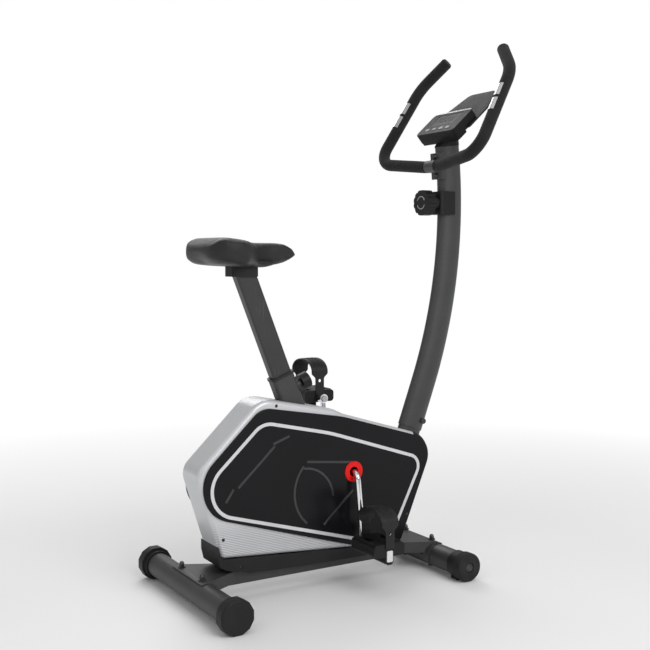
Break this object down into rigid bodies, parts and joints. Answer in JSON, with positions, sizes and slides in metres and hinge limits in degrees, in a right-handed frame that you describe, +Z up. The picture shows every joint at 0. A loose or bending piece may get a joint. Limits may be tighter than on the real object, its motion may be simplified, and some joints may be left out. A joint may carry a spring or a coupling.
{
  "type": "exercise bike",
  "caption": "Upright magnetic exercise bike with a curved mast, loop handlebar, console, sliding saddle post and enclosed flywheel drive.",
  "frame": {"origin": "centre of the footprint, at floor level", "axes": "+Z up, +X toward the front wheels and console, +Y to the rider's left"},
  "size_m": [0.8712, 0.47, 1.3081],
  "materials": {
    "frame_black": "satin",
    "post_black": "satin",
    "cap_black": "moulded texture",
    "wheel_rubber": "matte",
    "bolt_black": "satin",
    "bushing_plastic": "satin",
    "saddle_cover": "matte leatherette",
    "pan_plastic": "matte",
    "grip_foam": "foam",
    "sensor_steel": "brushed",
    "knob_plastic": "satin",
    "console_plastic": "satin",
    "display_glass": "clear",
    "button_plastic": "satin",
    "shelf_plastic": "satin",
    "crank_chrome": "polished",
    "pedal_plastic": "moulded texture",
    "reflector_white": "prismatic",
    "strap_rubber": "matte ribbed",
    "shell_silver": "metallic satin",
    "panel_black": "gloss",
    "stripe_silver": "metallic",
    "ring_red": "gloss",
    "bearing_steel": "ground",
    "pulley_plastic": "matte",
    "flywheel_iron": "turned",
    "belt_rubber": "matte",
    "cable_housing": "satin"
  },
  "bodies": {
    "frame": {"rear_foot_tube": "frame_black", "front_foot_tube": "frame_black", "rear_foot_bracket": "frame_black", "front_foot_bracket": "frame_black", "main_beam": "frame_black", "foot_bolts": "bolt_black", "front_caps": "cap_black", "seat_sleeve": "frame_black", "post_bushing": "bushing_plastic", "mast_stub": "frame_black", "mast": "frame_black", "mast_bolts": "bolt_black", "handlebar": "frame_black", "grips": "grip_foam", "pulse_sensors": "sensor_steel", "bar_clamp": "frame_black", "knob_body": "knob_plastic", "console_body": "console_plastic", "console_display": "display_glass", "media_shelf": "shelf_plastic", "console_bracket": "console_plastic", "crank_bearings": "bearing_steel", "flywheel_axle": "bearing_steel", "flywheel_fork": "bearing_steel", "drive_belt": "belt_rubber", "tension_cable": "cable_housing", "casing_right": "shell_silver", "casing_left": "shell_silver", "side_panel_right": "panel_black", "side_panel_left": "panel_black", "pinstripes": "stripe_silver", "front_cover": "cap_black", "belly_pan": "cap_black", "crank_rings": "ring_red", "casing_screws": "bolt_black"},
    "level_cap_right": {"level_cap_right": "cap_black"},
    "level_cap_left": {"level_cap_left": "cap_black"},
    "wheel_right": {"transport_wheel_right": "wheel_rubber"},
    "wheel_left": {"transport_wheel_left": "wheel_rubber"},
    "seat": {"seat_post": "post_black", "saddle_pad": "saddle_cover", "saddle_pan": "pan_plastic"},
    "pin": {"pop_pin": "knob_plastic"},
    "crank": {"crank": "crank_chrome", "pedal_spindles": "bearing_steel", "drive_pulley": "pulley_plastic"},
    "pedal_right": {"pedal_right": "pedal_plastic", "toe_strap_right": "strap_rubber", "reflector_right": "reflector_white"},
    "pedal_left": {"pedal_left": "pedal_plastic", "toe_strap_left": "strap_rubber", "reflector_left": "reflector_white"},
    "flywheel": {"flywheel": "flywheel_iron"},
    "idler": {"idler_roller": "pulley_plastic"},
    "magnet_arm": {"magnet_bracket": "bearing_steel"},
    "knob": {"tension_knob": "knob_plastic"},
    "button_mode": {"button_mode": "button_plastic"},
    "button_set": {"button_set": "button_plastic"},
    "button_reset": {"button_reset": "button_plastic"},
    "button_recovery": {"button_recovery": "button_plastic"}
  },
  "joints": [
    {"name": "level_cap_right_turn", "type": "hinge", "parent": "frame", "child": "level_cap_right", "pos_m": [-0.39759, -0.215, 0.038], "axis": [0, 1, 0], "range_deg": [-30, 30]},
    {"name": "level_cap_left_turn", "type": "hinge", "parent": "frame", "child": "level_cap_left", "pos_m": [-0.39759, 0.215, 0.038], "axis": [0, 1, 0], "range_deg": [-30, 30]},
    {"name": "wheel_right_spin", "type": "hinge", "parent": "frame", "child": "wheel_right", "pos_m": [0.23441, -0.195, 0.0351], "axis": [0, 1, 0], "continuous": true},
    {"name": "wheel_left_spin", "type": "hinge", "parent": "frame", "child": "wheel_left", "pos_m": [0.23441, 0.195, 0.0351], "axis": [0, 1, 0], "continuous": true},
    {"name": "seat_height", "type": "slide", "parent": "frame", "child": "seat", "axis": [-0.3689, 0, 0.9295], "range_m": [-0.1, 0.1]},
    {"name": "pop_pin_pull", "type": "slide", "parent": "frame", "child": "pin", "axis": [0.9295, 0, 0.3689], "range_m": [0, 0.01], "stiffness_N_per_m": 800},
    {"name": "crank_spin", "type": "hinge", "parent": "frame", "child": "crank", "pos_m": [0.00241, 0, 0.267], "axis": [0, 1, 0], "continuous": true},
    {"name": "pedal_right_spin", "type": "hinge", "parent": "crank", "child": "pedal_right", "pos_m": [0.00549, -0.15, 0.10663], "axis": [0, 1, 0], "continuous": true},
    {"name": "pedal_left_spin", "type": "hinge", "parent": "crank", "child": "pedal_left", "pos_m": [-0.00067, 0.15, 0.42737], "axis": [0, 1, 0], "continuous": true},
    {"name": "flywheel_spin", "type": "hinge", "parent": "frame", "child": "flywheel", "pos_m": [-0.24759, 0, 0.255], "axis": [0, 1, 0], "continuous": true},
    {"name": "idler_spin", "type": "hinge", "parent": "frame", "child": "idler", "pos_m": [-0.20228, 0.0255, 0.2046], "axis": [0, 1, 0], "continuous": true},
    {"name": "tension_knob_turn", "type": "hinge", "parent": "frame", "child": "knob", "pos_m": [0.32612, 0, 0.91703], "axis": [-1, 0, -0.0079], "range_deg": [0, 270]},
    {"name": "magnet_swing", "type": "hinge", "parent": "frame", "child": "magnet_arm", "pos_m": [-0.36505, 0, 0.29775], "axis": [0, 1, 0], "range_deg": [0, 8]},
    {"name": "button_mode_press", "type": "slide", "parent": "frame", "child": "button_mode", "axis": [0.6691, 0, -0.7431], "range_m": [0, 0.001], "stiffness_N_per_m": 800},
    {"name": "button_set_press", "type": "slide", "parent": "frame", "child": "button_set", "axis": [0.6691, 0, -0.7431], "range_m": [0, 0.001], "stiffness_N_per_m": 800},
    {"name": "button_reset_press", "type": "slide", "parent": "frame", "child": "button_reset", "axis": [0.6691, 0, -0.7431], "range_m": [0, 0.001], "stiffness_N_per_m": 800},
    {"name": "button_recovery_press", "type": "slide", "parent": "frame", "child": "button_recovery", "axis": [0.6691, 0, -0.7431], "range_m": [0, 0.001], "stiffness_N_per_m": 800}
  ],
  "couplings": [
    {"joint": "flywheel_spin", "follows": "crank_spin", "ratio": 6.1765},
    {"joint": "idler_spin", "follows": "crank_spin", "ratio": -7.5},
    {"joint": "magnet_swing", "follows": "tension_knob_turn", "ratio": 0.02963}
  ]
}
